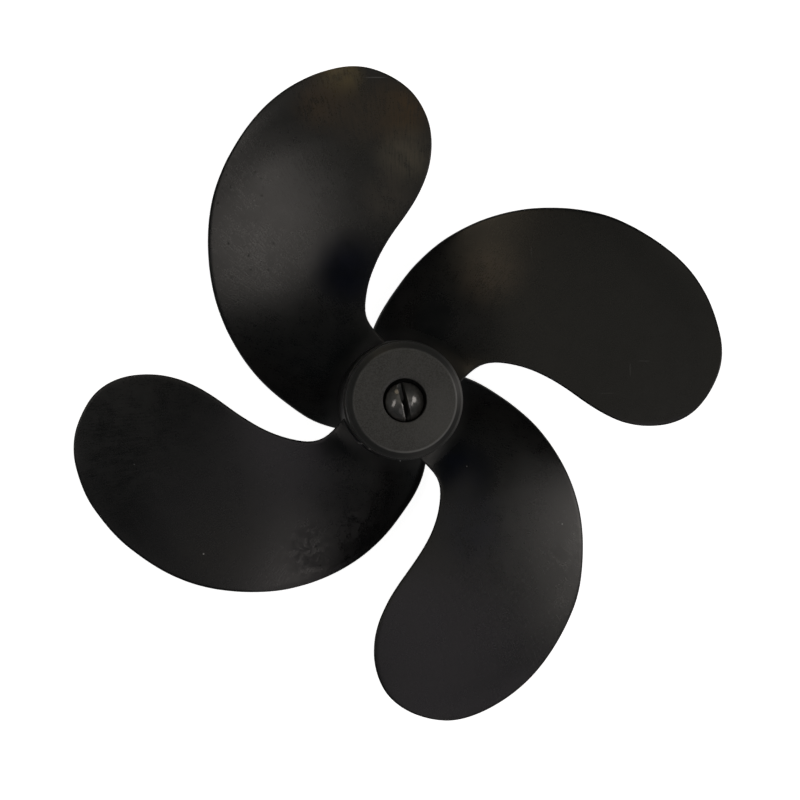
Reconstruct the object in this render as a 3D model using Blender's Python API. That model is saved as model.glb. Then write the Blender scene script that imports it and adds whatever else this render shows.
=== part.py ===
"""A four-bladed aerator propeller of moulded black plastic, seen from its screw end.

+Z is the shaft axis and points out of the hub's capped front, towards the slotted screw.
The origin is on that axis at the hub's flat back face, on which the propeller stands.
Seen from the front it turns counter-clockwise and drives water towards the cap.
"""

import math

import bmesh
import bpy
import numpy as np

MM = 0.001
GAP = 0.3 * MM

# Blades. An edge point is a radius in millimetres and an angle in degrees, both seen from the
# front. The list runs out along the concave trailing edge, round the tip, and back to the hub
# along the convex leading edge.
BLADE_COUNT = 4
TIP_RADIUS = 115.1 * MM
ROOT_RADIUS = 17.0 * MM
TRAILING_EDGE = (
    (17, 10), (21, 16.5), (25, 21.5), (30, 24.4), (38, 20.5), (46, 13.8), (54, 6.7), (62, 0.4),
    (70, -3.8), (78, -5.9), (87, -6.2), (96, -4.9), (104, -2.0), (110, 2.2), (114, 7.3),
)
TIP_ANGLE = 11.6
LEADING_EDGE = (
    (114, 17.0), (110, 25.1), (104, 33.1), (96, 42.0), (87, 50.2), (78, 57.8), (70, 64.4),
    (62, 70.9), (54, 77.6), (46, 84.7), (38, 93.0), (30, 103.8), (25, 112), (21, 120), (17, 128),
)
PITCH = 96.5 * MM
RAKE = 0.03
CAMBER = 0.03
DATUM_RADIUS = 70 * MM
DATUM_ANGLE = math.radians(26)
DATUM_HEIGHT = 26.4 * MM
ROOT_THICKNESS = 7.4 * MM
TIP_THICKNESS = 2.0 * MM
EDGE_THICKNESS = 1.1 * MM
STATIONS = 27
LAST_STATION = 0.05
CHORD_STEPS = (0.13, 0.31, 0.5, 0.69, 0.87)

# Hub barrel, one moulding with the blades
BARREL_BACK_RADIUS = 21.2 * MM
BARREL_FRONT_RADIUS = 20.7 * MM
BARREL_TOP = 36.0 * MM
BARREL_BORE = 9.6 * MM
BARREL_CHAMFER = 0.8 * MM

# Metal sleeve that the motor shaft enters from behind and the screw enters from the front
SLEEVE_RADIUS = BARREL_BORE - GAP
SLEEVE_BACK = 0.4 * MM
SOCKET_RADIUS = 6.35 * MM
SOCKET_TOP = 24.0 * MM
SCREW_HOLE = 4.2 * MM
KEYWAY_WIDTH = 3.2 * MM
KEYWAY_REACH = 8.0 * MM

# Hub cap, its face stepped down to a narrow ring at the rim
CAP_RADIUS = 20.2 * MM
CAP_BACK = BARREL_TOP + GAP
CAP_FACE = 43.5 * MM
FACE_RADIUS = 16.9 * MM
RING_RADIUS = 18.1 * MM
RING_HEIGHT = 42.9 * MM
RIM_ROUNDING = 0.9 * MM
COUNTERBORE_RADIUS = 7.5 * MM
COUNTERBORE_FLOOR = 38.9 * MM
MOUTH_ROUNDING = 1.2 * MM
CAP_HOLE = 4.3 * MM

# Slotted screw
HEAD_RADIUS = 6.65 * MM
HEAD_BACK = COUNTERBORE_FLOOR + GAP
HEAD_SIDE = 0.9 * MM
HEAD_TOP = 43.4 * MM
SHANK_RADIUS = 3.9 * MM
SHANK_END = 22.5 * MM
SLOT_WIDTH = 1.9 * MM
SLOT_FLOOR = 41.0 * MM
SLOT_ANGLE = math.radians(102)

TURNED_STEPS = 64
ARC_STEPS = 5


def clear_scene():
    for obj in list(bpy.data.objects):
        bpy.data.objects.remove(obj, do_unlink=True)


def material(name, colour, roughness, metallic=0.0):
    made = bpy.data.materials.new(name)
    made.use_nodes = True
    shader = made.node_tree.nodes["Principled BSDF"]
    shader.inputs["Base Color"].default_value = (*colour, 1.0)
    shader.inputs["Roughness"].default_value = roughness
    shader.inputs["Metallic"].default_value = metallic
    return made


def add_object(name, bm, finish):
    """Turns a bmesh into an object of the scene, shaded smooth away from its sharp edges."""
    bmesh.ops.recalc_face_normals(bm, faces=bm.faces)
    mesh = bpy.data.meshes.new(name)
    bm.to_mesh(mesh)
    bm.free()
    mesh.materials.append(finish)
    mesh.shade_smooth()
    mesh.set_sharp_from_angle(angle=math.radians(35))
    obj = bpy.data.objects.new(name, mesh)
    bpy.context.scene.collection.objects.link(obj)
    return obj


def make_helper(obj):
    obj.hide_render = True
    obj.display_type = "WIRE"
    return obj


def arc(centre, radius, start, end):
    """Points (radius, height) on a quarter round, angles in degrees."""
    angles = np.radians(np.linspace(start, end, ARC_STEPS + 1))
    return [(centre[0] + radius * math.cos(a), centre[1] + radius * math.sin(a)) for a in angles]


def turned(name, profile, finish, closed):
    """A turned solid from (radius, height) points that run down its outer side."""
    bm = bmesh.new()
    points = [bm.verts.new((radius, 0, height)) for radius, height in profile]
    pairs = list(zip(points[:-1], points[1:]))
    if closed:
        pairs.append((points[-1], points[0]))
    for first, second in pairs:
        bm.edges.new((first, second))
    mesh = bpy.data.meshes.new(name)
    bm.to_mesh(mesh)
    bm.free()
    mesh.materials.append(finish)
    obj = bpy.data.objects.new(name, mesh)
    bpy.context.scene.collection.objects.link(obj)
    screw = obj.modifiers.new("Turn", "SCREW")
    screw.steps = TURNED_STEPS
    screw.render_steps = TURNED_STEPS
    screw.use_merge_vertices = True
    screw.merge_threshold = 0.00001
    screw.use_smooth_shade = True
    return obj


def combine(obj, other, operation):
    boolean = obj.modifiers.new(other.name, "BOOLEAN")
    boolean.operation = operation
    boolean.solver = "EXACT"
    boolean.object = make_helper(other)


def box(name, low, high, finish):
    bm = bmesh.new()
    bmesh.ops.create_cube(bm, size=1.0)
    low, high = np.array(low), np.array(high)
    for vert in bm.verts:
        vert.co = (low + high) / 2 + np.array(vert.co) * (high - low)
    return add_object(name, bm, finish)


def station_of(radius):
    """0 at the tip and 1 at the root, spaced so that an edge passes round the tip smoothly."""
    return math.sqrt(max(TIP_RADIUS - radius, 0) / (TIP_RADIUS - ROOT_RADIUS))


def natural_spline(places, values):
    """Second derivatives of the natural cubic spline through the points."""
    count = len(places)
    steps = np.diff(places)
    slopes = np.diff(values) / steps
    system = np.eye(count)
    right = np.zeros(count)
    for i in range(1, count - 1):
        system[i, i - 1 : i + 2] = steps[i - 1], 2 * (steps[i - 1] + steps[i]), steps[i]
        right[i] = 6 * (slopes[i] - slopes[i - 1])
    return np.linalg.solve(system, right)


def edge_spline():
    """The blade's whole outline as one function: angle against signed station."""
    places = [-station_of(radius * MM) for radius, _ in TRAILING_EDGE]
    places += [0] + [station_of(radius * MM) for radius, _ in LEADING_EDGE]
    degrees = [a for _, a in TRAILING_EDGE] + [TIP_ANGLE] + [a for _, a in LEADING_EDGE]
    values = np.radians(degrees)
    places = np.array(places)
    bends = natural_spline(places, values)

    def angle_at(q):
        i = int(np.clip(np.searchsorted(places, q) - 1, 0, len(places) - 2))
        width = places[i + 1] - places[i]
        left, right = (places[i + 1] - q) / width, (q - places[i]) / width
        bend = (left**3 - left) * bends[i] + (right**3 - right) * bends[i + 1]
        return left * values[i] + right * values[i + 1] + bend * width**2 / 6

    return angle_at


def blade_height(radius, angle, share, chord):
    """Height of the blade's middle surface: a helical face, raked back and crowned to the front."""
    rise = PITCH / (2 * math.pi) * (DATUM_ANGLE - angle)
    rake = RAKE * (DATUM_RADIUS - radius)
    crown = CAMBER * chord * 4 * share * (1 - share)
    return DATUM_HEIGHT + rise + rake + crown


def full_thickness(radius):
    inward = (TIP_RADIUS - radius) / (TIP_RADIUS - BARREL_BACK_RADIUS)
    return TIP_THICKNESS + (ROOT_THICKNESS - TIP_THICKNESS) * min(inward, 1) ** 2


def blade_section(station, angle_at):
    """One constant-radius section: its edges, and the points of its front and back faces."""
    radius = TIP_RADIUS - (TIP_RADIUS - ROOT_RADIUS) * station**2
    trailing, leading = angle_at(-station), angle_at(station)
    chord = radius * (leading - trailing)
    nose = min(EDGE_THICKNESS / 2 / chord, 0.06)
    shares = (0.0, nose, *CHORD_STEPS, 1 - nose, 1.0)
    front, back = [], []
    for share in shares:
        angle = trailing + share * (leading - trailing)
        middle = blade_height(radius, angle, share, chord)
        bulge = (full_thickness(radius) - EDGE_THICKNESS) * 4 * share * (1 - share)
        half = 0 if share in (0.0, 1.0) else (EDGE_THICKNESS + bulge) / 2
        x, y = radius * math.cos(angle), radius * math.sin(angle)
        front.append((x, y, middle + half))
        back.append((x, y, middle - half))
    return front, back


def blade(number, finish):
    """One closed blade, lofted from its root inside the barrel to its tip."""
    angle_at = edge_spline()
    bm = bmesh.new()
    rows = []
    for station in np.linspace(1, LAST_STATION, STATIONS):
        front, back = blade_section(station, angle_at)
        front = [bm.verts.new(p) for p in front]
        inner = [bm.verts.new(p) for p in back[1:-1]]
        rows.append((front, [front[0], *inner, front[-1]]))
    for (front, back), (next_front, next_back) in zip(rows[:-1], rows[1:]):
        for row, next_row in ((front, next_front), (back, next_back)):
            for i in range(len(row) - 1):
                bm.faces.new((row[i], row[i + 1], next_row[i + 1], next_row[i]))
    for front, back in (rows[0], rows[-1]):
        for i in range(len(front) - 1):
            corners = [front[i], front[i + 1], back[i + 1], back[i]]
            bm.faces.new(list(dict.fromkeys(corners)))
    obj = add_object(f"blade_{number}", bm, finish)
    obj.rotation_euler.z = number * 2 * math.pi / BLADE_COUNT
    return obj


def propeller_moulding(finish):
    """The hub barrel and the four blades, which the real propeller has as one moulding."""
    profile = [
        (BARREL_BORE, BARREL_TOP),
        (BARREL_FRONT_RADIUS, BARREL_TOP),
        (BARREL_BACK_RADIUS, BARREL_CHAMFER),
        (BARREL_BACK_RADIUS - BARREL_CHAMFER, 0),
        (BARREL_BORE, 0),
    ]
    barrel = turned("propeller_moulding", profile, finish, closed=True)
    for number in range(BLADE_COUNT):
        combine(barrel, blade(number, finish), "UNION")
    return barrel


def shaft_sleeve(finish):
    profile = [
        (SCREW_HOLE, BARREL_TOP),
        (SLEEVE_RADIUS, BARREL_TOP),
        (SLEEVE_RADIUS, SLEEVE_BACK),
        (SOCKET_RADIUS, SLEEVE_BACK),
        (SOCKET_RADIUS, SOCKET_TOP),
        (SCREW_HOLE, SOCKET_TOP),
    ]
    sleeve = turned("shaft_sleeve", profile, finish, closed=True)
    low = (0, -KEYWAY_WIDTH / 2, SLEEVE_BACK - GAP)
    high = (KEYWAY_REACH, KEYWAY_WIDTH / 2, SOCKET_TOP - GAP)
    combine(sleeve, box("keyway_cutter", low, high, finish), "DIFFERENCE")
    return sleeve


def hub_cap(finish):
    rim_centre = (CAP_RADIUS - RIM_ROUNDING, RING_HEIGHT - RIM_ROUNDING)
    mouth_centre = (COUNTERBORE_RADIUS + MOUTH_ROUNDING, CAP_FACE - MOUTH_ROUNDING)
    profile = [
        (CAP_HOLE, COUNTERBORE_FLOOR),
        (COUNTERBORE_RADIUS, COUNTERBORE_FLOOR),
        *arc(mouth_centre, MOUTH_ROUNDING, 180, 90),
        (FACE_RADIUS, CAP_FACE),
        (RING_RADIUS, RING_HEIGHT),
        *arc(rim_centre, RIM_ROUNDING, 90, 0),
        (CAP_RADIUS, CAP_BACK),
        (CAP_HOLE, CAP_BACK),
    ]
    return turned("hub_cap", profile, finish, closed=True)


def slotted_screw(finish):
    side_top = HEAD_BACK + HEAD_SIDE
    dome = []
    for a in np.radians(np.linspace(90, 0, 9)):
        height = side_top + (HEAD_TOP - side_top) * math.sin(a)
        dome.append((HEAD_RADIUS * math.cos(a), height))
    dome[0] = (0, HEAD_TOP)
    profile = [
        *dome,
        (HEAD_RADIUS, HEAD_BACK),
        (SHANK_RADIUS, HEAD_BACK),
        (SHANK_RADIUS, SHANK_END),
        (0, SHANK_END),
    ]
    screw = turned("slotted_screw", profile, finish, closed=False)
    low = (-HEAD_RADIUS - MM, -SLOT_WIDTH / 2, SLOT_FLOOR)
    high = (HEAD_RADIUS + MM, SLOT_WIDTH / 2, HEAD_TOP + MM)
    cutter = box("slot_cutter", low, high, finish)
    cutter.rotation_euler.z = SLOT_ANGLE
    combine(screw, cutter, "DIFFERENCE")
    return screw


clear_scene()
black_plastic = material("black_blade_plastic", (0.022, 0.021, 0.020), 0.42)
grey_plastic = material("matt_grey_cap_plastic", (0.036, 0.036, 0.034), 0.62)
bare_steel = material("bare_steel", (0.42, 0.41, 0.39), 0.35, 1.0)
dark_steel = material("blackened_steel", (0.05, 0.05, 0.05), 0.30, 1.0)
propeller_moulding(black_plastic)
shaft_sleeve(bare_steel)
hub_cap(grey_plastic)
slotted_screw(dark_steel)
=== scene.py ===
"""Looks of the aerator propeller: black moulded blades and hub, grey hub cap, slotted screw."""

import math

import bmesh
import bpy
import numpy as np
from mathutils import Matrix, Quaternion, Vector, noise


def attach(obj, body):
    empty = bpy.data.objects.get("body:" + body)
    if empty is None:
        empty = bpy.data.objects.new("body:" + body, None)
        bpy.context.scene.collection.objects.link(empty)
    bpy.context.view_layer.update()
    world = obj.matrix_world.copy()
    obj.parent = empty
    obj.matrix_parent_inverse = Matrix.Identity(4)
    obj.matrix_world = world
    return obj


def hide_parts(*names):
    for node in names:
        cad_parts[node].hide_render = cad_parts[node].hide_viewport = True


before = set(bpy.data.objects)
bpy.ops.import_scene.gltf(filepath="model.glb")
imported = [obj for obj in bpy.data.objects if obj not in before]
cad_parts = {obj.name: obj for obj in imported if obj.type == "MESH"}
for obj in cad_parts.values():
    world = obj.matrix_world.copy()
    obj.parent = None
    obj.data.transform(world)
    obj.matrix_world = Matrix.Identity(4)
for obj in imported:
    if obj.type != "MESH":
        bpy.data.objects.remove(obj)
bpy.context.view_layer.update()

MM = 0.001
FULL_TURN = 2 * math.pi

# Edges that turn by more degrees than this are shaded sharp. The second value is the screw's.
SHARP_ANGLE = 38
SCREW_SHARP_ANGLE = 50

# The blade's outline, as the solid has it: radius in millimetres and angle in degrees, seen from
# the front, out along the trailing edge, round the tip and back along the leading edge.
BLADE_COUNT = 4
TIP_RADIUS = 115.1
ROOT_RADIUS = 17.0
TRAILING_EDGE = (
    (17, 10), (21, 16.5), (25, 21.5), (30, 24.4), (38, 20.5), (46, 13.8), (54, 6.7), (62, 0.4),
    (70, -3.8), (78, -5.9), (87, -6.2), (96, -4.9), (104, -2.0), (110, 2.2), (114, 7.3),
)
TIP_ANGLE = 11.6
LEADING_EDGE = (
    (114, 17.0), (110, 25.1), (104, 33.1), (96, 42.0), (87, 50.2), (78, 57.8), (70, 64.4),
    (62, 70.9), (54, 77.6), (46, 84.7), (38, 93.0), (30, 103.8), (25, 112), (21, 120), (17, 128),
)

# The even screw surface that the blades start from: millimetres a turn, drop per millimetre
# outwards, crown as a share of the width, the stretch at the tip over which the crown fades, and
# one point that the surface passes through
PITCH = 96.5
RAKE = 0.035
CROWN = 0.015
CROWN_FADE = 25.0
DATUM_RADIUS = 70.0
DATUM_ANGLE = math.radians(26)
DATUM_HEIGHT = 26.4

# How the moulded blades depart from that surface, which their sheen shows: millimetres, with a row
# for each power of the place along the blade and a column for each power of the place across it
FACE_DEPARTURE = (
    (0.75, -1.517, -0.075, 0.301),
    (-0.013, 0.336, -0.715, -0.423),
    (-0.798, 0.432, 0.496, 0.355),
    (1.762, -0.007, 0.433, 0.054),
)
DEPARTURE_START = 23.0
DEPARTURE_REACH = 45.0

# How far the trailing edge drops at the root, over what share of the width, how soon the fuller
# middle moves towards the leading edge there, and the least height of the underside
ROOT_DROP = 0.57
ROOT_DROP_SHARE = 0.45
ARCH_LEAN = 1.5
FLOOR_CLEARANCE = 0.5

# Blade thickness, its rounded rim with the ridge that the mould's joint leaves and its slight
# waves, each with its size and frequency, and the root fillet
ROOT_THICKNESS = 7.4
TIP_THICKNESS = 2.0
TIP_FADE = 14.0
EDGE_THICKNESS = 1.1
EDGE_INSET = 0.6
RIM_ANGLES = (0, 22, 45, 66, 82, 90, 98, 114, 135, 158, 180)
RIDGE_HEIGHT = 0.07
RIM_WAVES = ((0.05, 0.16), (0.16, 0.05))
WAVE_STEP = 7.3
FILLET_RADIUS = 0.4
FILLET_START = 0.12

# The blade's grid, closer towards the tip and towards both edges
ROWS = 118
ROW_CROWDING = 0.9
ROW_REACH = 0.988
COLUMNS = 40
COLUMN_EVENNESS = 0.6
MIN_STATION = 0.004

# How the photographed blades differ in plan from four equal ones: skew and uneven reach, which set
# in between the two radii of PLAN_FADE
PLAN_STRETCH = -0.0045
PLAN_SKEW = 0.005
PLAN_REACH = (-0.003, 0.016)
PLAN_FADE = (22.0, 60.0)

# Where single blades are trimmed or left fuller than the common outline: blade, radius with a
# minus on the trailing edge, reach along the outline as a share of it, and depth in millimetres
TRIMS = (
    (0, 34, 0.10, -0.8), (0, 44, 0.04, 0.18), (0, 70, 0.25, -0.25), (0, 80, 0.12, 0.14),
    (0, 99, 0.07, 0.4), (0, 110, 0.12, 0.35), (0, 114.8, 0.20, 0.6), (0, 115.1, 0.12, -0.92),
    (0, -109, 0.10, -0.35), (0, -55, 0.14, -0.15), (0, -44, 0.12, 0.5), (0, -31, 0.04, 0.35),
    (1, 32, 0.07, 0.7), (1, 37.5, 0.04, -0.38), (1, 66, 0.12, -0.35), (1, 82, 0.12, -0.27),
    (1, 98, 0.20, 0.4), (1, 112.8, 0.18, 0.75), (1, 115, 0.14, -0.85), (1, -108, 0.14, -0.5),
    (1, -99, 0.08, -0.38), (1, -57, 0.05, -0.38), (1, -50, 0.15, 0.7), (1, -32.5, 0.05, 0.45),
    (2, 28, 0.05, 0.6), (2, 38, 0.08, -0.3), (2, 46, 0.17, 2.0), (2, 70, 0.06, -0.25),
    (2, 74, 0.10, 0.75), (2, 106, 0.05, -0.2), (2, 114, 0.22, -0.8), (2, 114, 0.06, 0.33),
    (2, -109.5, 0.07, -0.3), (2, -107, 0.15, 0.4), (2, -78, 0.15, -0.3), (2, -41, 0.06, 0.42),
    (2, -34, 0.08, -1.1),
    (3, 36, 0.10, -1.0), (3, 58, 0.10, -0.48), (3, 95, 0.05, 0.18), (3, 115, 0.22, -0.6),
    (3, -112, 0.14, -0.24), (3, -86, 0.11, 0.33), (3, -60, 0.12, 0.25), (3, -46, 0.05, -0.22),
    (3, -30, 0.07, -0.5), (3, -31, 0.04, 0.22),
)

# Hub barrel
BARREL_BACK_RADIUS = 21.2
BARREL_FRONT_RADIUS = 20.7
BARREL_TOP = 36.0
BARREL_BORE = 9.6

# Hub cap
CAP_RADIUS = 20.1
CAP_BACK = 36.1
CAP_FACE = 43.5
FACE_RADIUS = 17.55
RIM_RADIUS = 19.6
RIM_HEIGHT = 42.25
COUNTERBORE_RADIUS = 7.5
MOUTH_RADIUS = 8.8
COUNTERBORE_FLOOR = 38.9
CAP_HOLE = 4.3

# Slotted screw. Its head lies a little off the counterbore's middle, down in the photograph, and
# the dome's crown a little to the left.
HEAD_RADIUS = 6.65
HEAD_BACK = 38.98
HEAD_TOP = 44.2
HEAD_EDGE = 0.2
HEAD_EDGE_DROP = 0.15
DOME_RADIUS = 9.3
DOME_REACH = 5.6
DOME_SHIFT = -0.9
HEAD_SHIFT = (0.05, -0.5)
HEAD_ROWS = 57
RIM_COLUMNS = (0.965, 0.985, 0.997)
SLOT_WIDTH = 2.3
SLOT_SHIFT = -0.2
SLOT_FLOOR = 40.6
SLOT_EDGE = 0.12
SLOT_WEAR = 0.4
SLOT_WEAR_DEPTH = 0.22
SLOT_ANGLE = math.radians(103)

# The slot's worn floor: the stretch along the slot over which it changes, where its lowest line
# starts and how far it moves left, how far it drops, the step on its left at the top end, and the
# slopes on its right and its left
FLOOR_FADE = 2.4
VALLEY_START = 0.25
VALLEY_MOVE = 1.1
VALLEY_DROP = 0.5
STEP_RISE = 0.9
RIGHT_SLOPE = 0.9
LEFT_SLOPE = 0.25
LEFT_SLOPE_GAIN = 0.6

# The screw's shank and its thread, which fades at both ends
SHANK_RADIUS = 3.9
SHANK_END = 22.5
SHANK_STEPS = 64
SHANK_CHAMFER = 0.7
PLAIN_LENGTH = 2
THREAD_PITCH = 1.4
THREAD_DEPTH = 0.45
THREAD_FADE = 1.2
RINGS_PER_TURN = 10

# Shaft sleeve
SLEEVE_RADIUS = 9.5
SLEEVE_BACK = 0.4
SLEEVE_TOP = 35.9
SOCKET_RADIUS = 6.35
SOCKET_TOP = 24.0
SCREW_HOLE = 4.2
KEYWAY_WIDTH = 3.2
KEYWAY_REACH = 8.0

# Camera, where the photograph was taken from. A pixel is one of the photograph's 800, and its size
# is that at the datum point's height.
FRAME_PIXELS = 800
TIP_CIRCLE = 230
TIP_CIRCLE_PIXELS = 660
DISTANCE_PIXELS = 2200
PIXEL = TIP_CIRCLE / TIP_CIRCLE_PIXELS * MM
VIEW_DISTANCE = DISTANCE_PIXELS * PIXEL
SENSOR_WIDTH = 36.0
LENS = SENSOR_WIDTH * DISTANCE_PIXELS / FRAME_PIXELS
CLIP_RANGE = (0.05, 50)
AXIS_LEAN = (0.08775, -0.01003)
DATUM_PIXEL = (400.552, 399.94)

# Marks on the blades, in millimetres. Each has a point on the blade, the radius within which it is
# full and the radius at which it ends. First come the dull scuffs, and the polished spots with the
# roughness that each takes off. Then come the pits, the mottled places, and the roughness of each.
SCUFFS = (
    ((-32, -52, 20), 4, 16),
    ((-60, 76, 22), 3, 14),
    ((58, -56, 26), 4, 14),
)
POLISHED_SPOTS = (
    ((-19, 47, 27), 4, 19, 0.13),
    ((22, -26, 25), 4, 16, 0.12),
    ((10, 28, 20), 3, 14, 0.08),
    ((-26, -12, 25), 3, 14, 0.08),
)
PITS = (
    ((-58, 75, 22), 8, 15),
    ((-53, 52, 22), 3, 14),
    ((-30, -56, 20), 3, 12),
)
MOTTLES = (
    ((-26, -52, 20), 5, 17),
    ((-14, -44, 20), 2, 12),
)
PLASTIC_ROUGHNESS = 0.29
SCUFF_ROUGHNESS = 0.06
PIT_ROUGHNESS = 0.45
MOTTLE_ROUGHNESS = 0.19
ROOT_GRIME_ROUGHNESS = 0.2
ROOT_GRIME_RADII = (22.5, 26.5)
PIT_SPACING = 2.4
DUST_SPACING = 6.5

# Single flecks and short scratches, and painted glints: middle and half size in plan, and tone
FLECKS_AND_GLINTS = (
    # The first four are painted glints near the barrel's rim
    ((-14.3, -15.0), (0.4, 0.3), 0.30), ((-11.3, -16.7), (0.9, 0.3), 0.20),
    ((1.2, -21.7), (0.25, 0.5), 0.30), ((-17.2, 9.0), (0.3, 0.3), 0.2),
    ((-68.4, -53.4), (0.35, 0.35), 0.4), ((23.5, -23.3), (0.3, 0.3), 0.12),
    ((-9.3, 111.2), (4.6, 0.22), 0.10), ((79.5, 10.8), (0.25, 3.2), 0.035),
    ((84.5, 13.6), (2.6, 0.22), 0.035), ((71.0, 2.4), (3.4, 0.2), 0.03),
    ((46.5, 52.0), (0.2, 2.6), 0.03), ((58.0, -44.0), (0.35, 0.35), 0.2),
    ((-42.0, 40.0), (0.3, 0.3), 0.12), ((-92.0, -22.0), (0.3, 0.3), 0.12),
)

# Water stains and painted sheen (its blue and brown tints and some brightness), each with its colour
STAINS_AND_PAINTED_SHEEN = (
    ((-21, 111, 29), 3, 11, (0.150, 0.112, 0.040)),
    ((-27, 103, 29), 3, 14, (0.050, 0.032, 0.016)),
    ((-1, 99, 30), 3, 16, (0.070, 0.036, 0.006)),
    ((-13, 99, 30), 3, 17, (0.036, 0.024, 0.013)),
    ((1, 84, 32), 3, 14, (0.085, 0.072, 0.050)),
    ((-4, 70, 30), 3, 14, (0.042, 0.034, 0.026)),
    ((-36, 73, 26), 4, 24, (0.040, 0.040, 0.039)),
    ((33, 44, 20), 3, 16, (0.048, 0.036, 0.025)),
    ((-104, -10, 28), 5, 40, (0.018, 0.018, 0.018)),
    ((-19, 46, 28), 4, 17, (0.0006, 0.0012, 0.0090)),
    ((22, -26, 25), 4, 16, (0.0006, 0.0010, 0.0060)),
    ((24, -44, 28), 4, 18, (0.0020, 0.0030, 0.0100)),
    ((-62, -50, 24), 4, 22, (0.0075, 0.0070, 0.0050)),
)

# Floor and backdrop, in millimetres. The floor lies a hair under the hub's back.
FLOOR_GLOW = 0.95
FLOOR_HALF_SIZE = 8000
FLOOR_GAP = 0.02
BACKDROP_RADII = (7900, 7950)
BACKDROP_HEIGHTS = (-10, 7000)

# The room's light above the horizon, the pale tone below it, and how far down that tone is reached
WORLD_COLOUR = (0.0195, 0.0279, 0.03)
HORIZON_COLOUR = (0.27, 0.265, 0.26)
HORIZON_FADE = -0.25

# Soft boxes, all at one distance in metres. Each has its tilt from the shaft's axis and its azimuth,
# in degrees as the propeller sees them, its half angles round the axis and away from it, its roll,
# its power in watts and its colour.
BOX_DISTANCE = 1.6
SOFTBOXES = (
    ("left", 32, 187, (15.5, 5), -26, 1.8, (1, 0.93, 0.87)),
    ("right", 57, 12, (11, 9), 0, 2.5, (1, 0.94, 0.89)),
    ("right_strip", 46.5, 357, (10, 2), -10, 0.68, (1, 0.94, 0.87)),
    ("right_lower", 28, 328, (15, 15), 0, 0.93, (1, 0.90, 0.97)),
    ("lower", 36, 279, (15, 16), 0, 0.53, (1, 0.93, 0.91)),
    ("overhead", 17, 71, (26, 26), 0, 2.0, (1, 0.93, 0.80)),
    ("low_front", 52, 297, (9.5, 8), 0, 1.0, (1, 0.92, 0.88)),
    ("top_left", 49, 110, (9.5, 9), 0, 0.88, (1, 0.83, 0.60)),
)


def shade(mesh, sharp_angle=SHARP_ANGLE):
    """Shades a mesh smooth, apart from its sharp edges."""
    mesh.shade_smooth()
    mesh.set_sharp_from_angle(angle=math.radians(sharp_angle))


def new_object(name, bm, finish):
    """Turns a bmesh in millimetres into a smooth-shaded object in metres."""
    bmesh.ops.recalc_face_normals(bm, faces=bm.faces)
    mesh = bpy.data.meshes.new(name)
    bm.to_mesh(mesh)
    bm.free()
    mesh.transform(Matrix.Scale(MM, 4))
    mesh.materials.append(finish)
    shade(mesh)
    obj = bpy.data.objects.new(name, mesh)
    bpy.context.scene.collection.objects.link(obj)
    return obj


def rounded(corners, steps=4):
    """A closed profile from (radius, height, rounding) corners, with an arc at each rounding."""
    points = []
    count = len(corners)
    for i, (x, y, size) in enumerate(corners):
        here = Vector((x, y))
        if size == 0:
            points.append((x, y))
            continue
        before = (Vector(corners[i - 1][:2]) - here).normalized()
        after = (Vector(corners[(i + 1) % count][:2]) - here).normalized()
        half = before.angle(after) / 2
        reach = size / math.tan(half)
        centre = here + (before + after).normalized() * size / math.sin(half)
        start, end = here + before * reach - centre, here + after * reach - centre
        turn = start.angle_signed(end)
        for k in range(steps + 1):
            arm = start.copy()
            arm.rotate(Matrix.Rotation(-turn * k / steps, 2))
            points.append(tuple(centre + arm))
    return points


def revolve(profile, steps):
    """A closed profile turned round the shaft's axis."""
    bm = bmesh.new()
    rings = []
    for radius, height in profile:
        ring = []
        for k in range(steps):
            a = FULL_TURN * k / steps
            ring.append(bm.verts.new((radius * math.cos(a), radius * math.sin(a), height)))
        rings.append(ring)
    for first, second in zip(rings, rings[1:] + rings[:1]):
        for k in range(steps):
            n = (k + 1) % steps
            bm.faces.new((first[k], first[n], second[n], second[k]))
    return bm


def boolean(obj, other, operation):
    """Applies an exact Boolean at once and removes the other object."""
    step = obj.modifiers.new(other.name, "BOOLEAN")
    step.operation = operation
    step.solver = "EXACT"
    step.object = other
    apply_modifiers(obj)
    bpy.data.objects.remove(other, do_unlink=True)


def apply_modifiers(obj):
    """Gives the object the mesh that its modifiers make."""
    graph = bpy.context.evaluated_depsgraph_get()
    mesh = bpy.data.meshes.new_from_object(obj.evaluated_get(graph))
    old = obj.data
    obj.modifiers.clear()
    obj.data = mesh
    mesh.name = obj.name
    bpy.data.meshes.remove(old)


def natural_spline(places, values):
    """Second derivatives of the natural cubic spline through the points."""
    count = len(places)
    steps = np.diff(places)
    slopes = np.diff(values) / steps
    system = np.eye(count)
    right = np.zeros(count)
    for i in range(1, count - 1):
        system[i, i - 1 : i + 2] = steps[i - 1], 2 * (steps[i - 1] + steps[i]), steps[i]
        right[i] = 6 * (slopes[i] - slopes[i - 1])
    return np.linalg.solve(system, right)


def station_of(radius):
    """0 at the tip and 1 at the root, as the solid's blades are spaced."""
    inward = np.clip(TIP_RADIUS - np.asarray(radius, float), 0, None)
    return np.sqrt(inward / (TIP_RADIUS - ROOT_RADIUS))


def outline_spline():
    """The outline's angle at a signed station: below 0 is the trailing edge, above 0 the leading."""
    places = [-station_of(radius) for radius, _ in TRAILING_EDGE]
    places += [0] + [station_of(radius) for radius, _ in LEADING_EDGE]
    degrees = [a for _, a in TRAILING_EDGE] + [TIP_ANGLE] + [a for _, a in LEADING_EDGE]
    places = np.array(places, float)
    values = np.radians(degrees)
    bends = natural_spline(places, values)

    def angle_at(q):
        i = np.clip(np.searchsorted(places, q) - 1, 0, len(places) - 2)
        width = places[i + 1] - places[i]
        left, right = (places[i + 1] - q) / width, (q - places[i]) / width
        bend = (left**3 - left) * bends[i] + (right**3 - right) * bends[i + 1]
        return left * values[i] + right * values[i + 1] + bend * width**2 / 6

    return angle_at


ANGLE_AT = outline_spline()


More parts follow.
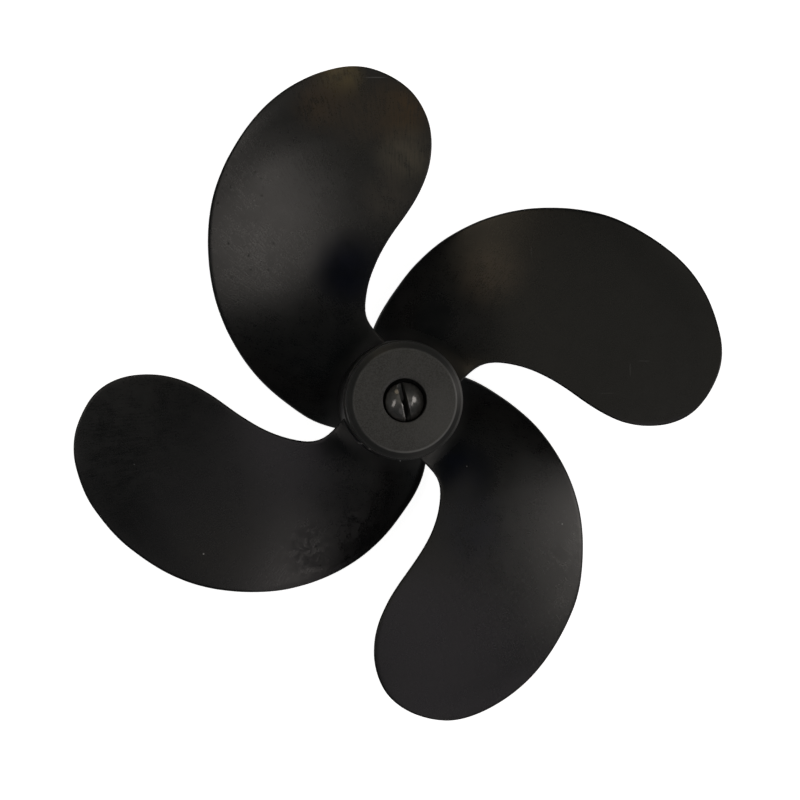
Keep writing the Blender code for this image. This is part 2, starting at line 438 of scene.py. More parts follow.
def outline(q):
    """The outline's points in plan, in millimetres, at signed stations."""
    radius = TIP_RADIUS - (TIP_RADIUS - ROOT_RADIUS) * q**2
    angle = ANGLE_AT(q)
    return np.stack([radius * np.cos(angle), radius * np.sin(angle)], axis=-1)


def outward(q):
    """The outline's unit normals, pointing away from the blade."""
    step = 0.0005
    tangent = outline(q + step) - outline(q - step)
    normal = np.stack([tangent[:, 1], -tangent[:, 0]], axis=1)
    return normal / np.linalg.norm(normal, axis=1)[:, None]


def smooth_step(value):
    """An eased rise from 0 to 1, which holds its ends outside that range."""
    value = np.clip(value, 0, 1)
    return value * value * (3 - 2 * value)


def surface(points):
    """Middle height and half thickness of a blade at points of its plan.

    The crown and the thickness follow an arch across the blade, which is 1 at its highest. It is
    even at the tip and has its highest point two thirds of the way across at the root.
    """
    radius = np.hypot(points[:, 0], points[:, 1])
    angle = np.arctan2(points[:, 1], points[:, 0])
    station = np.clip(station_of(radius), MIN_STATION, 1)
    trailing, leading = ANGLE_AT(-station), ANGLE_AT(station)
    share = np.clip((angle - trailing) / (leading - trailing), 0, 1)
    chord = radius * (leading - trailing)
    inward = TIP_RADIUS - radius
    deep = np.clip(inward / (TIP_RADIUS - BARREL_BACK_RADIUS), 0, 1) ** 2
    lean = deep**ARCH_LEAN
    # s (1 - s) is at most 1 / 4, and s s (1 - s) at most 1 / 6.75
    arch = share * (1 - share) * (4 * (1 - lean) + 6.75 * share * lean)
    crown = CROWN * chord * arch * smooth_step(inward / CROWN_FADE)
    rise = PITCH / FULL_TURN * (DATUM_ANGLE - angle)
    middle = DATUM_HEIGHT + rise + RAKE * (DATUM_RADIUS - radius) + crown
    along = (np.maximum(radius, DEPARTURE_START) - DATUM_RADIUS) / DEPARTURE_REACH
    across = 2 * share - 1
    for i, row in enumerate(FACE_DEPARTURE):
        for j, size in enumerate(row):
            middle = middle + size * along**i * across**j
    middle = middle - ROOT_DROP * deep**2 * np.clip(1 - share / ROOT_DROP_SHARE, 0, 1) ** 2
    full = TIP_THICKNESS + (ROOT_THICKNESS - TIP_THICKNESS) * deep
    half = (EDGE_THICKNESS + (full - EDGE_THICKNESS) * arch * smooth_step(inward / TIP_FADE)) / 2
    off = np.clip((radius - BARREL_BACK_RADIUS) / FILLET_RADIUS, FILLET_START, 1)
    fillet = FILLET_RADIUS * (1 - np.sqrt(1 - (1 - off) ** 2))
    edge_distance = np.minimum(share, 1 - share) * chord
    half += fillet * smooth_step(edge_distance / (2 * FILLET_RADIUS))
    middle = np.maximum(middle, half + FLOOR_CLEARANCE)
    return middle, half


def rim_wave(number, signed, edge):
    """How far one blade's rim lies outside the common outline, in millimetres."""
    wave = np.zeros(len(signed))
    for size, frequency in RIM_WAVES:
        for i, (x, y) in enumerate(edge):
            place = (x * frequency, y * frequency, WAVE_STEP * number + size)
            wave[i] += size * noise.noise(place)
    for blade, radius, reach, depth in TRIMS:
        if blade == number:
            station = math.copysign(station_of(abs(radius)), radius)
            wave += depth * np.exp(-(((signed - station) / reach) ** 2))
    return wave


def blade_bmesh(number):
    """One closed blade: a grid for each face and a rounded rim, from inside the barrel to the tip."""
    bm = bmesh.new()
    stations = 1 - np.linspace(0, 1, ROWS) ** ROW_CROWDING * ROW_REACH
    signed = np.concatenate([-stations, [0], stations[::-1]])
    edge = outline(signed)
    normals = outward(signed)
    edge = edge + normals * rim_wave(number, signed, edge)[:, None]

    rim = []
    for degrees in RIM_ANGLES:
        a = math.radians(degrees)
        ridge = RIDGE_HEIGHT if degrees == 90 else 0
        plan = edge - normals * (EDGE_INSET * (1 - math.sin(a)) - ridge)
        middle, half = surface(plan)
        rim.append(np.column_stack([plan, middle + half * math.cos(a)]))

    shares = np.linspace(0, 1, COLUMNS)
    eased = (1 - np.cos(math.pi * shares)) / 2
    shares = COLUMN_EVENNESS * shares + (1 - COLUMN_EVENNESS) * eased
    ends = []
    for end in (rim[0][:ROWS], rim[0][::-1][:ROWS]):
        ends.append((np.hypot(end[:, 0], end[:, 1]), np.arctan2(end[:, 1], end[:, 0])))
    (first_radius, first_angle), (last_radius, last_angle) = ends
    faces = []
    for side in (1, -1):
        grid = []
        for share in shares:
            radius = first_radius * (1 - share) + last_radius * share
            angle = first_angle * (1 - share) + last_angle * share
            plan = np.column_stack([radius * np.cos(angle), radius * np.sin(angle)])
            middle, half = surface(plan)
            grid.append(np.column_stack([plan, middle + side * half]))
        faces.append(np.array(grid))

    turn = Matrix.Rotation(FULL_TURN * number / BLADE_COUNT, 3, "Z")
    rim_verts = []
    for ring in rim:
        rim_verts.append([bm.verts.new(turn @ Vector(p)) for p in ring])
    for ring, next_ring in zip(rim_verts[:-1], rim_verts[1:]):
        for i in range(len(ring) - 1):
            bm.faces.new((ring[i], ring[i + 1], next_ring[i + 1], next_ring[i]))
    caps = []
    for grid, ring in zip(faces, (rim_verts[0], rim_verts[-1])):
        columns = [ring[:ROWS]]
        for column in grid[1:-1]:
            columns.append([bm.verts.new(turn @ Vector(p)) for p in column])
        columns.append(ring[::-1][:ROWS])
        for column, next_column in zip(columns[:-1], columns[1:]):
            for i in range(ROWS - 1):
                bm.faces.new((column[i], next_column[i], next_column[i + 1], column[i + 1]))
            bm.faces.new((column[-1], next_column[-1], ring[ROWS]))
        caps.append([column[0] for column in columns])
    trailing_end = [ring[0] for ring in rim_verts]
    leading_end = [ring[-1] for ring in rim_verts]
    bm.faces.new([*caps[0], *leading_end[1:-1], *caps[1][::-1], *trailing_end[::-1][1:-1]])
    return bm


def shift_plan(obj):
    """Moves the blades in plan to where the photographed ones lie. The hub stays."""
    mesh = obj.data
    points = np.empty(len(mesh.vertices) * 3, np.float32)
    mesh.vertices.foreach_get("co", points)
    points = points.reshape(-1, 3).astype(float)
    x, y = points[:, 0] / MM, points[:, 1] / MM
    start, full = PLAN_FADE
    share = smooth_step((np.hypot(x, y) - start) / (full - start))
    reach = (PLAN_REACH[0] * x + PLAN_REACH[1] * y) / TIP_RADIUS
    moved_x = ((1 + PLAN_STRETCH) * x + PLAN_SKEW * y) * (1 + reach)
    moved_y = (PLAN_SKEW * x + (1 - PLAN_STRETCH) * y) * (1 + reach)
    points[:, 0] = (x + share * (moved_x - x)) * MM
    points[:, 1] = (y + share * (moved_y - y)) * MM
    mesh.vertices.foreach_set("co", points.ravel().astype(np.float32))
    mesh.update()


def propeller(finish):
    """Barrel and blades as one closed mesh."""
    profile = rounded(
        [
            (BARREL_BORE, BARREL_TOP, 0.25),
            (BARREL_FRONT_RADIUS, BARREL_TOP, 0.4),
            (BARREL_BACK_RADIUS, 0, 0.8),
            (BARREL_BORE, 0, 0.4),
        ]
    )
    obj = new_object("propeller", revolve(profile, steps=160), finish)
    for number in range(BLADE_COUNT):
        blade = new_object(f"blade_{number}", blade_bmesh(number), finish)
        boolean(obj, blade, "UNION")
    shift_plan(obj)
    shade(obj.data)
    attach(obj, "root")
    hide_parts("propeller_moulding")


def hub_cap(finish):
    """The cap, turned, with its face, bevelled rim and counterbore."""
    profile = rounded(
        [
            (CAP_HOLE, COUNTERBORE_FLOOR, 0.2),
            (COUNTERBORE_RADIUS, COUNTERBORE_FLOOR, 0.3),
            (COUNTERBORE_RADIUS, CAP_FACE - 0.1, 0.35),
            (MOUTH_RADIUS, CAP_FACE, 0.6),
            (FACE_RADIUS, CAP_FACE, 0.5),
            (RIM_RADIUS, RIM_HEIGHT, 0.3),
            (CAP_RADIUS, RIM_HEIGHT - 0.3, 0.3),
            (CAP_RADIUS, CAP_BACK, 0.3),
            (CAP_HOLE, CAP_BACK, 0.2),
        ],
        steps=6,
    )
    obj = new_object("cap", revolve(profile, steps=200), finish)
    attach(obj, "root")
    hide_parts("hub_cap")


def dome_height(across, along):
    """Height of the screw's dome: a ball's crown that runs out in an even slope."""
    radius = math.hypot(across, along)
    off_crown = math.hypot(across - DOME_SHIFT, along)
    dome = HEAD_TOP - DOME_RADIUS + math.sqrt(max(0, DOME_RADIUS**2 - off_crown**2))
    if off_crown > DOME_REACH:
        slope = DOME_REACH / math.sqrt(DOME_RADIUS**2 - DOME_REACH**2)
        edge = HEAD_TOP - DOME_RADIUS + math.sqrt(DOME_RADIUS**2 - DOME_REACH**2)
        dome = edge - slope * (off_crown - DOME_REACH)
    return dome - HEAD_EDGE_DROP * max(0, (radius - HEAD_RADIUS + HEAD_EDGE) / HEAD_EDGE) ** 2


def head_height(across, along):
    """Height of the slotted head, where across runs over the slot and along runs up it."""
    dome = dome_height(across, along)
    half = SLOT_WIDTH / 2
    place = across - SLOT_SHIFT
    if abs(place) >= half:
        return dome
    low = float(smooth_step(0.5 - along / FLOOR_FADE))
    valley = VALLEY_START - VALLEY_MOVE * low
    if place > valley:
        floor = SLOT_FLOOR - VALLEY_DROP * low + RIGHT_SLOPE * (place - valley)
    else:
        slope = LEFT_SLOPE + LEFT_SLOPE_GAIN * low
        floor = SLOT_FLOOR + STEP_RISE * (1 - low) + slope * (valley - place)
    worn = SLOT_WEAR * low if place < 0 else 0
    edge = half - abs(place)
    if edge < worn:
        return max(floor, dome - SLOT_WEAR_DEPTH * edge / SLOT_WEAR)
    drop = float(smooth_step((edge - worn) / SLOT_EDGE))
    lip = dome - SLOT_WEAR_DEPTH * worn / SLOT_WEAR
    return lip + (min(floor, lip) - lip) * drop


def head_columns():
    """Places of the head's columns, from left to right, close together at the slot and the rim."""
    left, right = SLOT_SHIFT - SLOT_WIDTH / 2, SLOT_SHIFT + SLOT_WIDTH / 2
    rim = [HEAD_RADIUS * share for share in RIM_COLUMNS]
    inside_rim = HEAD_RADIUS * 0.94
    across = [-u for u in rim[::-1]] + list(np.linspace(-inside_rim, left - 0.2, 16))
    across += [left - 0.02, left + 0.02] + list(np.linspace(left + 0.07, right - 0.14, 36))
    across += [right + d for d in (-0.12, -0.09, -0.06, -0.03, 0.0, 0.03)]
    return across + list(np.linspace(right + 0.2, inside_rim, 14)) + rim


def screw_head():
    """The slotted dome over a flat back, in columns of points along the slot."""
    bm = bmesh.new()
    turn = Matrix.Rotation(SLOT_ANGLE - math.pi / 2, 3, "Z")
    shift = Vector((*HEAD_SHIFT, 0))
    columns = []
    for u in head_columns():
        reach = math.sqrt(HEAD_RADIUS**2 - u**2)
        column = []
        for t in np.linspace(-math.pi / 2, math.pi / 2, HEAD_ROWS):
            point = Vector((u, reach * math.sin(t), head_height(u, reach * math.sin(t))))
            column.append(bm.verts.new(turn @ point + shift))
        columns.append(column)
    for column, next_column in zip(columns[:-1], columns[1:]):
        for k in range(len(column) - 1):
            bm.faces.new((column[k], next_column[k], next_column[k + 1], column[k + 1]))
    rim = [*columns[0], *(c[-1] for c in columns[1:-1]), *columns[-1][::-1]]
    rim += [c[0] for c in columns[1:-1]][::-1]
    foot = [bm.verts.new((vert.co.x, vert.co.y, HEAD_BACK)) for vert in rim]
    for k in range(len(rim)):
        n = (k + 1) % len(rim)
        bm.faces.new((rim[k], rim[n], foot[n], foot[k]))
    bm.faces.new(foot)
    return bm


def screw_shank():
    """A threaded shank: rings of points whose radius follows the thread round and up."""
    bm = bmesh.new()
    rings = []
    into_head = 0.3
    for z in np.arange(SHANK_END, HEAD_BACK + into_head, THREAD_PITCH / RINGS_PER_TURN):
        ring = []
        run_out = max(0, (HEAD_BACK - PLAIN_LENGTH - z) / THREAD_FADE)
        fade = min(1, (z - SHANK_END) / THREAD_FADE, run_out)
        for k in range(SHANK_STEPS):
            a = FULL_TURN * k / SHANK_STEPS
            phase = (z / THREAD_PITCH - k / SHANK_STEPS) % 1
            groove = THREAD_DEPTH * (1 - abs(2 * phase - 1)) * fade
            chamfer = max(0, SHANK_CHAMFER - (z - SHANK_END))
            radius = SHANK_RADIUS - groove - chamfer
            ring.append(bm.verts.new((radius * math.cos(a), radius * math.sin(a), z)))
        rings.append(ring)
    for ring, next_ring in zip(rings[:-1], rings[1:]):
        for k in range(SHANK_STEPS):
            n = (k + 1) % SHANK_STEPS
            bm.faces.new((ring[k], ring[n], next_ring[n], next_ring[k]))
    bm.faces.new(rings[0])
    bm.faces.new(rings[-1])
    return bm


def slotted_screw(finish):
    """The screw's head and shank as one closed mesh."""
    obj = new_object("screw", screw_head(), finish)
    boolean(obj, new_object("shank", screw_shank(), finish), "UNION")
    shade(obj.data, SCREW_SHARP_ANGLE)
    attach(obj, "root")
    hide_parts("slotted_screw")


def shaft_sleeve(finish):
    """The sleeve in the hub's back, with the shaft's socket, its keyway and the screw's hole."""
    profile = rounded(
        [
            (SCREW_HOLE, SLEEVE_TOP, 0.3),
            (SLEEVE_RADIUS, SLEEVE_TOP, 0.3),
            (SLEEVE_RADIUS, SLEEVE_BACK, 0.3),
            (SOCKET_RADIUS + 0.5, SLEEVE_BACK, 0),
            (SOCKET_RADIUS, SLEEVE_BACK + 0.5, 0),
            (SOCKET_RADIUS, SOCKET_TOP, 0.3),
            (SCREW_HOLE, SOCKET_TOP, 0.2),
        ]
    )
    obj = new_object("sleeve", revolve(profile, steps=128), finish)
    bm = bmesh.new()
    bmesh.ops.create_cube(bm, size=1.0)
    middle = Vector((KEYWAY_REACH / 2, 0, SOCKET_TOP / 2))
    for vert in bm.verts:
        vert.co = middle + vert.co * Vector((KEYWAY_REACH, KEYWAY_WIDTH, SOCKET_TOP + 1))
    boolean(obj, new_object("keyway", bm, finish), "DIFFERENCE")
    shade(obj.data)
    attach(obj, "root")
    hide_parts("shaft_sleeve")


class Finish:
    """A Principled material, with short calls for the nodes behind its colour and roughness."""

    def __init__(self, name, metallic=0.0):
        self.material = bpy.data.materials.new(name)
        self.material.use_nodes = True
        self.tree = self.material.node_tree
        self.shader = self.tree.nodes["Principled BSDF"]
        self.shader.inputs["Metallic"].default_value = metallic
        place = self.tree.nodes.new("ShaderNodeTexCoord")
        self.place = self.vector("SCALE", place.outputs["Object"], scale=1 / MM)

    def put(self, socket, value):
        """Links another node's output to the socket, or sets a plain value."""
        if isinstance(value, bpy.types.NodeSocket):
            self.tree.links.new(value, socket)
        else:
            socket.default_value = value

    def math(self, operation, *values, clamp=False):
        """A Math node's result."""
        node = self.tree.nodes.new("ShaderNodeMath")
        node.operation = operation
        node.use_clamp = clamp
        for socket, value in zip(node.inputs, values):
            self.put(socket, value)
        return node.outputs[0]

    def vector(self, operation, *values, scale=None):
        """A Vector Math node's result."""
        node = self.tree.nodes.new("ShaderNodeVectorMath")
        node.operation = operation
        for socket, value in zip(node.inputs, values):
            self.put(socket, value)
        if scale is not None:
            node.inputs["Scale"].default_value = scale
        scalar = operation in ("DISTANCE", "LENGTH", "DOT_PRODUCT")
        return node.outputs["Value" if scalar else "Vector"]

    def noise(self, size, detail=3.0, roughness=0.55, distortion=0.0, place=None):
        """Noise whose blotches are about size millimetres wide."""
        node = self.tree.nodes.new("ShaderNodeTexNoise")
        self.put(node.inputs["Vector"], place or self.place)
        node.inputs["Scale"].default_value = 1 / size
        node.inputs["Detail"].default_value = detail
        node.inputs["Roughness"].default_value = roughness
        node.inputs["Distortion"].default_value = distortion
        return node.outputs["Fac"]

    def cells(self, size):
        """The outputs of a Voronoi texture whose cells are about size millimetres wide."""
        node = self.tree.nodes.new("ShaderNodeTexVoronoi")
        self.put(node.inputs["Vector"], self.place)
        node.inputs["Scale"].default_value = 1 / size
        return node.outputs

    def spread(self, value, low, high, to_low=0.0, to_high=1.0):
        """An eased change from to_low to to_high while value goes from low to high."""
        node = self.tree.nodes.new("ShaderNodeMapRange")
        node.interpolation_type = "SMOOTHSTEP"
        for name, number in (
            ("From Min", low), ("From Max", high), ("To Min", to_low), ("To Max", to_high),
        ):
            node.inputs[name].default_value = number
        self.put(node.inputs["Value"], value)
        return node.outputs["Result"]

    def blend(self, share, first, second):
        """The first colour where share is 0 and the second where it is 1."""
        node = self.tree.nodes.new("ShaderNodeMix")
        node.data_type = "RGBA"
        self.put(node.inputs["Factor"], share)
        for socket, colour in ((node.inputs[6], first), (node.inputs[7], second)):
            self.put(socket, (*colour, 1.0) if isinstance(colour, tuple) else colour)
        return node.outputs[2]

    def total(self, start, *terms):
        """start plus the sum of share * (value - 0.5) over the terms."""
        result = start
        for share, value in terms:
            centred = self.math("SUBTRACT", value, 0.5)
            result = self.math("MULTIPLY_ADD", centred, share, result)
        return result

    def patch(self, middle, inner, outer):
        """1 within inner millimetres of a point, fading to 0 at outer."""
        reach = self.vector("DISTANCE", self.place, middle)
        return self.spread(reach, inner, outer, 1.0, 0.0)

    def split(self, value):
        """A vector's three numbers."""
        node = self.tree.nodes.new("ShaderNodeSeparateXYZ")
        self.put(node.inputs[0], value)
        return node.outputs

    def radius(self):
        """Distance from the shaft's axis."""
        x, y, _ = self.split(self.place)
        return self.math("SQRT", self.math("MULTIPLY_ADD", x, x, self.math("MULTIPLY", y, y)))

    def height(self):
        """Height over the floor."""
        return self.split(self.place)[2]

    def mark(self, centre, reach):
        """1 in a small oval in plan, fading to 0 at its edge, for a fleck or a short scratch."""
        offset = self.vector("SUBTRACT", self.place, (*centre, 0))
        scaled = self.vector("MULTIPLY", offset, (1 / reach[0], 1 / reach[1], 0))
        return self.spread(self.vector("LENGTH", scaled), 0.5, 1.0, 1.0, 0.0)

    def upward(self):
        """1 on faces that look up and 0 on those that look down."""
        geometry = self.tree.nodes.new("ShaderNodeNewGeometry")
        return self.spread(self.split(geometry.outputs["Normal"])[2], 0.0, 0.3)

    def polar(self, along, across):
        """The place as (radius / along, angle / across, height / along), for brushed streaks."""
        x, y, z = self.split(self.place)
        angle = self.math("ARCTAN2", y, x)
        join = self.tree.nodes.new("ShaderNodeCombineXYZ")
        self.put(join.inputs[0], self.math("DIVIDE", self.radius(), along))
        self.put(join.inputs[1], self.math("DIVIDE", angle, across))
        self.put(join.inputs[2], self.math("DIVIDE", z, along))
        return join.outputs[0]

    def bump(self, height, distance):
        """Relief of up to distance millimetres."""
        node = self.tree.nodes.new("ShaderNodeBump")
        node.inputs["Distance"].default_value = distance * MM
        self.put(node.inputs["Height"], height)
        self.tree.links.new(node.outputs["Normal"], self.shader.inputs["Normal"])

    def set(self, colour, roughness):
        """Connects the colour and the roughness, and returns the finished material."""
        colour = (*colour, 1.0) if isinstance(colour, tuple) else colour
        self.put(self.shader.inputs["Base Color"], colour)
        self.put(self.shader.inputs["Roughness"], roughness)
        return self.material


def black_plastic():
    """Satin moulded black: a cloudy, faintly brushed sheen, wear, dust, and stains of dried water.

    Tints and brightness of the sheen are painted in places, and glints near the barrel's rim.
    """
    f = Finish("black_blade_plastic")
    clouds = f.noise(26, 6, 0.62, 0.6)
    blots = f.noise(6, 5, 0.65, 0.3)
    grain = f.noise(0.55, 3, 0.7)
    brushed = f.noise(1, 4, 0.7, place=f.polar(5, 0.0065))
    terms = [(0.08, clouds), (0.08, blots), (0.13, grain), (0.10, brushed)]
    scuffs = f.math("MULTIPLY", f.spread(blots, 0.42, 0.62), f.spread(brushed, 0.4, 0.6))
    for middle, inner, outer in SCUFFS:
        worn = f.math("MULTIPLY", f.patch(middle, inner, outer), scuffs)
        terms.append((SCUFF_ROUGHNESS, f.math("ADD", worn, 0.5)))
    for middle, inner, outer, share in POLISHED_SPOTS:
        terms.append((-share, f.math("ADD", f.patch(middle, inner, outer), 0.5)))
    pits = f.cells(PIT_SPACING)
    chosen = f.spread(pits["Color"], 0.52, 0.56)
    pitted = f.math("MULTIPLY", f.spread(pits["Distance"], 0.10, 0.20, 1.0, 0.0), chosen)
    mottled = f.spread(f.noise(2.8, 6, 0.75, 0.4), 0.46, 0.57)
    for places, share, pattern in (
        (PITS, PIT_ROUGHNESS, pitted), (MOTTLES, MOTTLE_ROUGHNESS, mottled),
    ):
        for middle, inner, outer in places:
            patch = f.patch(middle, inner, outer)
            terms.append((share, f.math("MULTIPLY_ADD", patch, pattern, 0.5)))
    grimy = f.spread(f.radius(), *ROOT_GRIME_RADII, 1.0, 0.0)
    terms.append((ROOT_GRIME_ROUGHNESS, f.math("ADD", grimy, 0.5)))
    roughness = f.total(PLASTIC_ROUGHNESS, *terms)

    haze = f.total(0.5, (1.0, clouds), (0.9, blots), (0.5, brushed), (1.0, grain))
    colour = f.blend(f.spread(haze, 0.1, 0.9), (0.0015, 0.0015, 0.0018), (0.0085, 0.0082, 0.0080))
    ragged = f.spread(f.total(0.5, (0.8, blots), (0.7, brushed)), 0.3, 0.65, 0.3, 1.0)
    ragged = f.math("MULTIPLY", ragged, f.upward())
    # Water stains, and painted sheen: tints and brighter patches of the sheen laid into the colour
    for middle, inner, outer, stain in STAINS_AND_PAINTED_SHEEN:
        share = f.math("MULTIPLY", f.patch(middle, inner, outer), ragged)
        colour = f.blend(share, colour, stain)
    dust = f.cells(DUST_SPACING)
    chosen = f.spread(dust["Color"], 0.66, 0.74)
    speck = f.math("MULTIPLY", f.spread(dust["Distance"], 0.02, 0.04, 1.0, 0.0), chosen)
    colour = f.blend(speck, colour, (0.035, 0.035, 0.036))
    # Flecks and scratches, and painted glints near the barrel's rim
    for centre, reach, tone in FLECKS_AND_GLINTS:
        colour = f.blend(f.mark(centre, reach), colour, (tone, tone, tone))
    f.bump(f.total(0.5, (1.0, grain), (0.2, brushed)), 0.005)
    return f.set(colour, roughness)


def grey_plastic():
    """Matt grey cap with faint turning marks and grime, lighter towards the lower right of its face.

    It is darker from the bevel outwards. The edges of its face and rim are worn, with a painted
    highlight on them towards the lower right and the right, and there is painted shade in the
    counterbore.
    """
    f = Finish("matt_grey_cap_plastic")
    radius = f.radius()
    grime = f.noise(5, 4, 0.6)
    grain = f.noise(0.45, 2)
    turned = f.noise(1, 2, place=f.polar(0.22, 6))
    colour = f.blend(f.spread(grime, 0.3, 0.75), (0.034, 0.034, 0.033), (0.050, 0.050, 0.048))
    colour = f.blend(f.spread(grain, 0.35, 0.65), colour, (0.072, 0.072, 0.070))
    lighter = f.math("MULTIPLY", f.patch((14, -8, 43), 3, 18), 0.45)
    colour = f.blend(lighter, colour, (0.105, 0.105, 0.102))
    bevel = f.spread(radius, FACE_RADIUS + 0.15, FACE_RADIUS + 0.65)
    colour = f.blend(bevel, colour, (0.022, 0.022, 0.0215))

    # The face's edge: worn all round, with a painted highlight towards the lower right
    inner = f.spread(radius, FACE_RADIUS - 0.45, FACE_RADIUS - 0.05)
    outer = f.spread(radius, FACE_RADIUS + 0.15, FACE_RADIUS + 0.55, 1.0, 0.0)
    worn = f.math("MULTIPLY", inner, outer)
    wear_and_highlight = f.total(0.15, (0.5, grime), (0.75, f.math("ADD", f.patch((14, -13, 43), 9, 30), 0.5)))
    colour = f.blend(f.math("MULTIPLY", worn, wear_and_highlight, clamp=True), colour, (0.16, 0.16, 0.157))

    # The rim's edge: worn, with a painted highlight towards the right
    outer = f.spread(radius, RIM_RADIUS - 0.4, RIM_RADIUS - 0.1)
    worn = f.math("MULTIPLY", outer, f.spread(f.height(), RIM_HEIGHT - 0.65, RIM_HEIGHT - 0.35))
    wear_and_highlight = f.total(0.1, (0.5, grain), (0.6, f.math("ADD", f.patch((20, 0, 43), 5, 20), 0.5)))
    colour = f.blend(f.math("MULTIPLY", worn, wear_and_highlight, clamp=True), colour, (0.11, 0.11, 0.108))

    # Painted shade in the counterbore, which is also made rougher there
    sunk = f.spread(f.height(), CAP_FACE - 0.9, CAP_FACE - 0.3, 1.0, 0.0)
    hole = f.math("MULTIPLY", sunk, f.spread(radius, MOUTH_RADIUS - 0.9, MOUTH_RADIUS - 0.5, 1.0, 0.0))
    colour = f.blend(hole, colour, (0.002, 0.002, 0.002))
    f.bump(f.math("ADD", grain, turned), 0.01)
    roughness = f.total(0.38, (0.1, grime), (0.08, grain))
    return f.set(colour, f.math("MULTIPLY_ADD", hole, 0.5, roughness, clamp=True))


def worn_steel():
    """The screw: darkened steel, a painted highlight on the slot's worn edge, painted shade in the
    slot.
    """
    f = Finish("worn_dark_steel", metallic=0.4)
    stain = f.noise(2.2, 4, 0.6)
    scuffs = f.noise(1, 3, 0.6, place=f.polar(1.2, 0.06))
    colour = f.blend(f.spread(stain, 0.3, 0.7), (0.060, 0.059, 0.057), (0.105, 0.103, 0.100))
    turn = SLOT_ANGLE - math.pi / 2
    across = f.vector("DOT_PRODUCT", f.place, (math.cos(turn), math.sin(turn), 0))
    along = f.vector("DOT_PRODUCT", f.place, (-math.sin(turn), math.cos(turn), 0))
    # A painted highlight along the slot's worn left edge, at its lower end
    edge = HEAD_SHIFT[1] * math.sin(turn) + SLOT_SHIFT - SLOT_WIDTH / 2
    off_edge = f.math("ABSOLUTE", f.math("SUBTRACT", across, edge + SLOT_WEAR / 2))
    lower_end = f.spread(along, -1.6, -0.6, 1.0, 0.0)
    bright = f.math("MULTIPLY", f.spread(off_edge, 0.1, 0.24, 1.0, 0.0), lower_end)
    bright = f.math("MULTIPLY", bright, f.spread(scuffs, 0.2, 0.5))
    colour = f.blend(bright, colour, (0.38, 0.37, 0.36))
    # Painted shade inside the slot, towards its floor
    off_slot = f.math("ABSOLUTE", f.math("SUBTRACT", across, edge + SLOT_WIDTH / 2))
    inside = f.spread(off_slot, SLOT_WIDTH / 2 - 0.2, SLOT_WIDTH / 2 - 0.1, 1.0, 0.0)
    sunk = f.spread(f.height(), SLOT_FLOOR + 1.0, SLOT_FLOOR + 2.0, 1.0, 0.0)
    colour = f.blend(f.math("MULTIPLY", inside, sunk), colour, (0.012, 0.012, 0.012))
    f.shader.inputs["Coat Weight"].default_value = 0.8
    f.shader.inputs["Coat Roughness"].default_value = 0.13
    f.shader.inputs["Coat IOR"].default_value = 1.8
    f.bump(scuffs, 0.006)
    return f.set(colour, f.total(0.42, (0.16, stain), (0.1, scuffs)))


def bare_steel():
    """The sleeve: turned steel, dulled by water."""
    f = Finish("turned_steel", metallic=1.0)
    turned = f.noise(1, 2, place=f.polar(0.15, 8))
    stain = f.noise(3.5, 4, 0.6)
    colour = f.blend(f.spread(stain, 0.4, 0.8), (0.42, 0.41, 0.39), (0.27, 0.25, 0.22))
    f.bump(turned, 0.012)
    return f.set(colour, f.total(0.33, (0.15, stain), (0.1, turned)))


def add_camera():
    """The photograph's view: the object's axis leans a little to the right of the line of sight."""
    axis = Vector((*AXIS_LEAN, 1)).normalized()
    lean = Vector((0, 0, 1)).rotation_difference(axis)
    middle = FRAME_PIXELS / 2
    offset = Vector((
        (middle - DATUM_PIXEL[0]) * PIXEL,
        (DATUM_PIXEL[1] - middle) * PIXEL,
        VIEW_DISTANCE,
    ))
    data = bpy.data.cameras.new("camera")
    data.sensor_width = SENSOR_WIDTH
    data.lens = LENS
    data.clip_start, data.clip_end = CLIP_RANGE
    camera = bpy.data.objects.new("camera", data)
    camera.rotation_mode = "QUATERNION"
    camera.rotation_quaternion = lean.inverted()
    camera.location = lean.inverted() @ offset + Vector((0, 0, DATUM_HEIGHT * MM))
    bpy.context.scene.collection.objects.link(camera)
    bpy.context.scene.camera = camera


def add_floor():
    """A pale lit floor, bright enough that the propeller's shadow on it almost vanishes.

    It doesn't show in gloss, because the world's pale tone below the horizon stands in for it.
    """
    bm = bmesh.new()
    bmesh.ops.create_grid(bm, x_segments=1, y_segments=1, size=FLOOR_HALF_SIZE)
    material = bpy.data.materials.new("pale_floor")
    material.use_nodes = True
    shader = material.node_tree.nodes["Principled BSDF"]
    shader.inputs["Base Color"].default_value = (0.85, 0.85, 0.85, 1)
    shader.inputs["Roughness"].default_value = 0.9
    shader.inputs["Specular IOR Level"].default_value = 0.1
    shader.inputs["Emission Color"].default_value = (1, 1, 1, 1)
    shader.inputs["Emission Strength"].default_value = FLOOR_GLOW
    floor = new_object("floor", bm, material)
    floor.location.z = -FLOOR_GAP * MM
    floor.visible_glossy = False
    return material


def add_backdrop(material):
    """A round pale wall far off, so that low views have the floor's tone behind the propeller."""
    near, far = BACKDROP_RADII
    foot, top = BACKDROP_HEIGHTS
    profile = [(near, foot), (far, foot), (far, top), (near, top)]
    wall = new_object("backdrop", revolve(profile, steps=96), material)
    wall.visible_glossy = False
    wall.visible_diffuse = False
    wall.visible_shadow = False


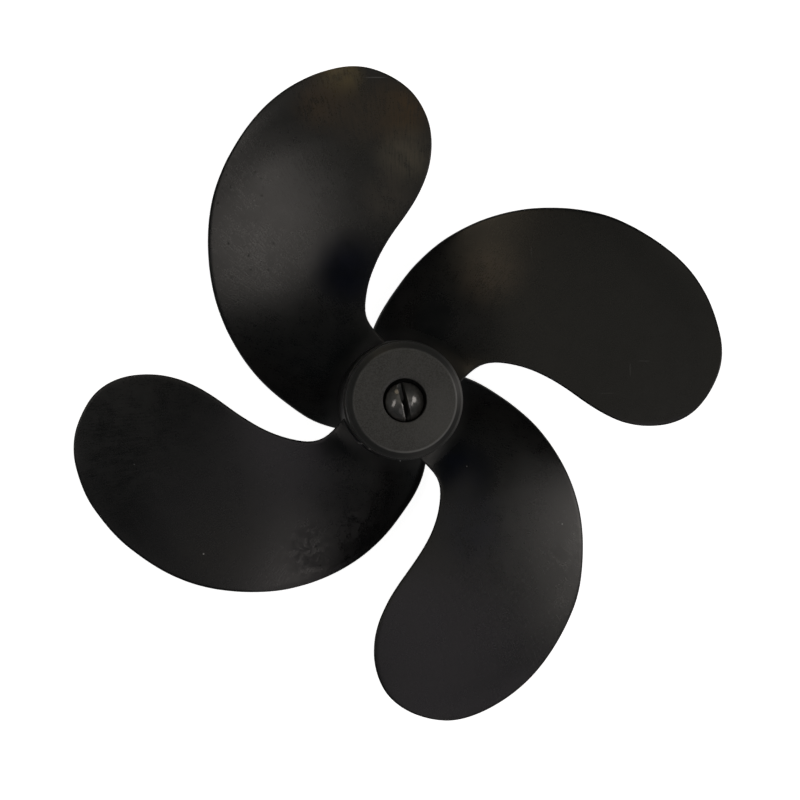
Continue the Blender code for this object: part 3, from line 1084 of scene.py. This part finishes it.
def add_softbox(name, tilt, azimuth, spread, roll, power, colour):
    """An oval soft box that faces the propeller, out of the camera's sight."""
    data = bpy.data.lights.new(name, "AREA")
    data.shape = "ELLIPSE"
    data.size = 2 * BOX_DISTANCE * math.tan(math.radians(spread[0]))
    data.size_y = 2 * BOX_DISTANCE * math.tan(math.radians(spread[1]))
    data.energy = power
    data.color = colour
    lamp = bpy.data.objects.new(name, data)
    tilt, azimuth = math.radians(tilt), math.radians(azimuth)
    away = Vector((
        math.sin(tilt) * math.cos(azimuth),
        math.sin(tilt) * math.sin(azimuth),
        math.cos(tilt),
    ))
    lamp.location = away * BOX_DISTANCE
    lamp.rotation_mode = "QUATERNION"
    facing = away.to_track_quat("Z", "Y")
    lamp.rotation_quaternion = facing @ Quaternion((0, 0, 1), math.radians(roll))
    lamp.visible_camera = False
    bpy.context.scene.collection.objects.link(lamp)


def add_world():
    """A dim room, pale below the horizon, as the floor would look in the plastic."""
    world = bpy.data.worlds.new("studio")
    world.use_nodes = True
    nodes, links = world.node_tree.nodes, world.node_tree.links
    background = nodes["Background"]
    direction = nodes.new("ShaderNodeTexCoord")
    split = nodes.new("ShaderNodeSeparateXYZ")
    links.new(direction.outputs["Generated"], split.inputs[0])
    rise = nodes.new("ShaderNodeMapRange")
    rise.interpolation_type = "SMOOTHSTEP"
    rise.inputs["From Min"].default_value = HORIZON_FADE
    rise.inputs["From Max"].default_value = 0.0
    links.new(split.outputs[2], rise.inputs["Value"])
    room = nodes.new("ShaderNodeMix")
    room.data_type = "RGBA"
    room.inputs[6].default_value = (*HORIZON_COLOUR, 1)
    room.inputs[7].default_value = (*WORLD_COLOUR, 1)
    links.new(rise.outputs["Result"], room.inputs["Factor"])
    links.new(room.outputs[2], background.inputs["Color"])
    bpy.context.scene.world = world


add_camera()
propeller(black_plastic())
hub_cap(grey_plastic())
slotted_screw(worn_steel())
shaft_sleeve(bare_steel())
add_backdrop(add_floor())
for box in SOFTBOXES:
    add_softbox(*box)
add_world()
bpy.context.scene.view_settings.view_transform = "Standard"
